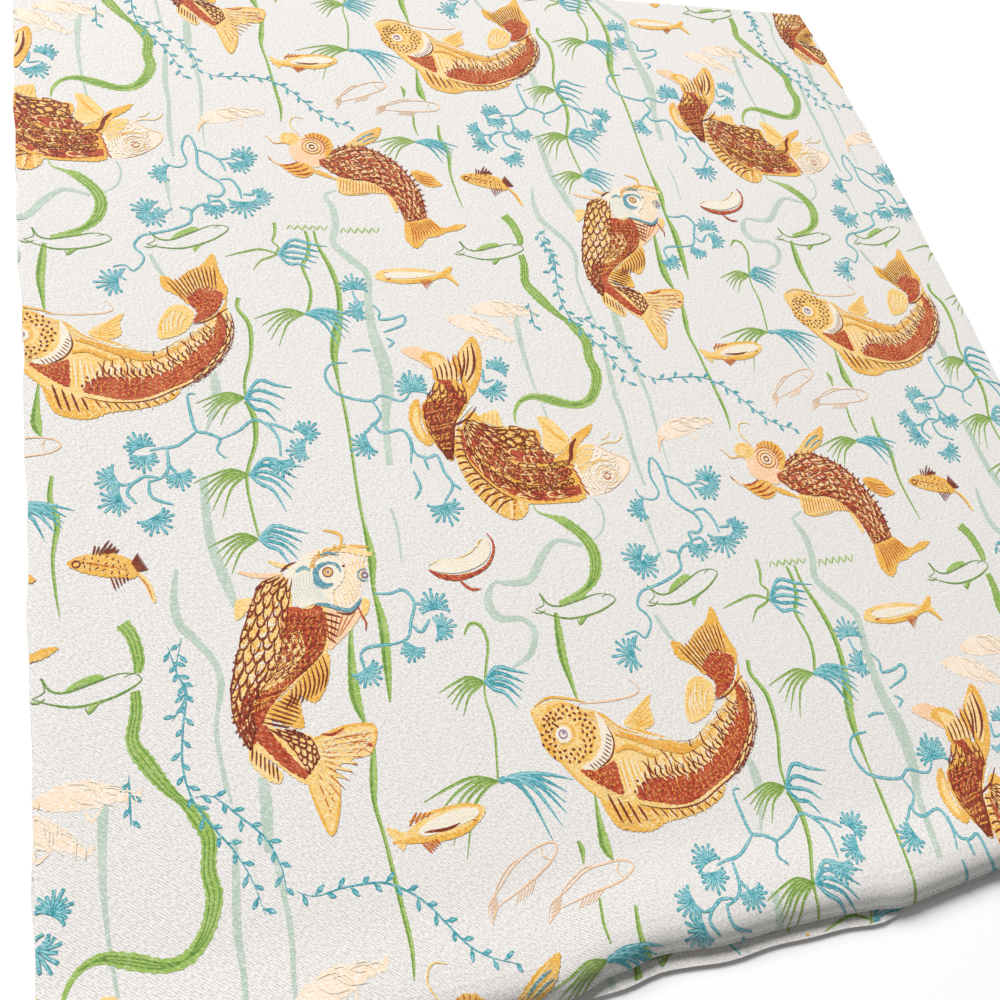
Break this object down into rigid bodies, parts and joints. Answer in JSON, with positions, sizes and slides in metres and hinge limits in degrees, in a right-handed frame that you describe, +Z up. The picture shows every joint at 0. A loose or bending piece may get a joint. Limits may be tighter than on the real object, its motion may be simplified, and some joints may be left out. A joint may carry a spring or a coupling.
{
  "type": "folded furnishing fabric",
  "caption": "Length of heavy woven furnishing fabric with a carp and river-weed pattern, folded in three with a soft rolled near fold, that unfolds at its folds.",
  "frame": {"origin": "centre of the underside, on the surface the cloth lies on", "axes": "+X across the cloth, +Y away from the soft near fold, +Z up"},
  "size_m": [0.578, 0.638, 0.0102],
  "materials": {
    "ground_cloth": "off-white cotton twill ground",
    "rust_weft": "rust brocade weft",
    "gold_weft": "gold brocade weft"
  },
  "bodies": {
    "bottom": {"bottom_layer": "ground_cloth", "far_fold_lower": "ground_cloth"},
    "middle": {"far_fold_upper": "ground_cloth", "middle_layer": "ground_cloth", "near_fold_lower": "ground_cloth"},
    "top": {"near_fold_upper": "ground_cloth", "top_layer": "ground_cloth", "leaping_carp_near": "rust_weft", "leaping_carp_far": "rust_weft", "leaping_carp_left": "rust_weft", "leaping_carp_right": "rust_weft", "diving_carp_left": "rust_weft", "diving_carp_middle": "rust_weft", "diving_carp_far_left": "rust_weft", "diving_carp_far_right": "rust_weft", "diving_carp_near_right": "rust_weft", "rising_carp_middle": "gold_weft", "rising_carp_far_right": "gold_weft", "rising_carp_far_left": "gold_weft", "browsing_carp_right": "gold_weft", "browsing_carp_left": "gold_weft"}
  },
  "joints": [
    {"name": "far_fold", "type": "hinge", "parent": "bottom", "child": "middle", "pos_m": [0, 0.3153, 0.0033], "axis": [-1, 0, 0], "range_deg": [0, 180]},
    {"name": "near_fold", "type": "hinge", "parent": "middle", "child": "top", "pos_m": [0, -0.31445, 0.006], "axis": [1, 0, 0], "range_deg": [0, 180]}
  ]
}
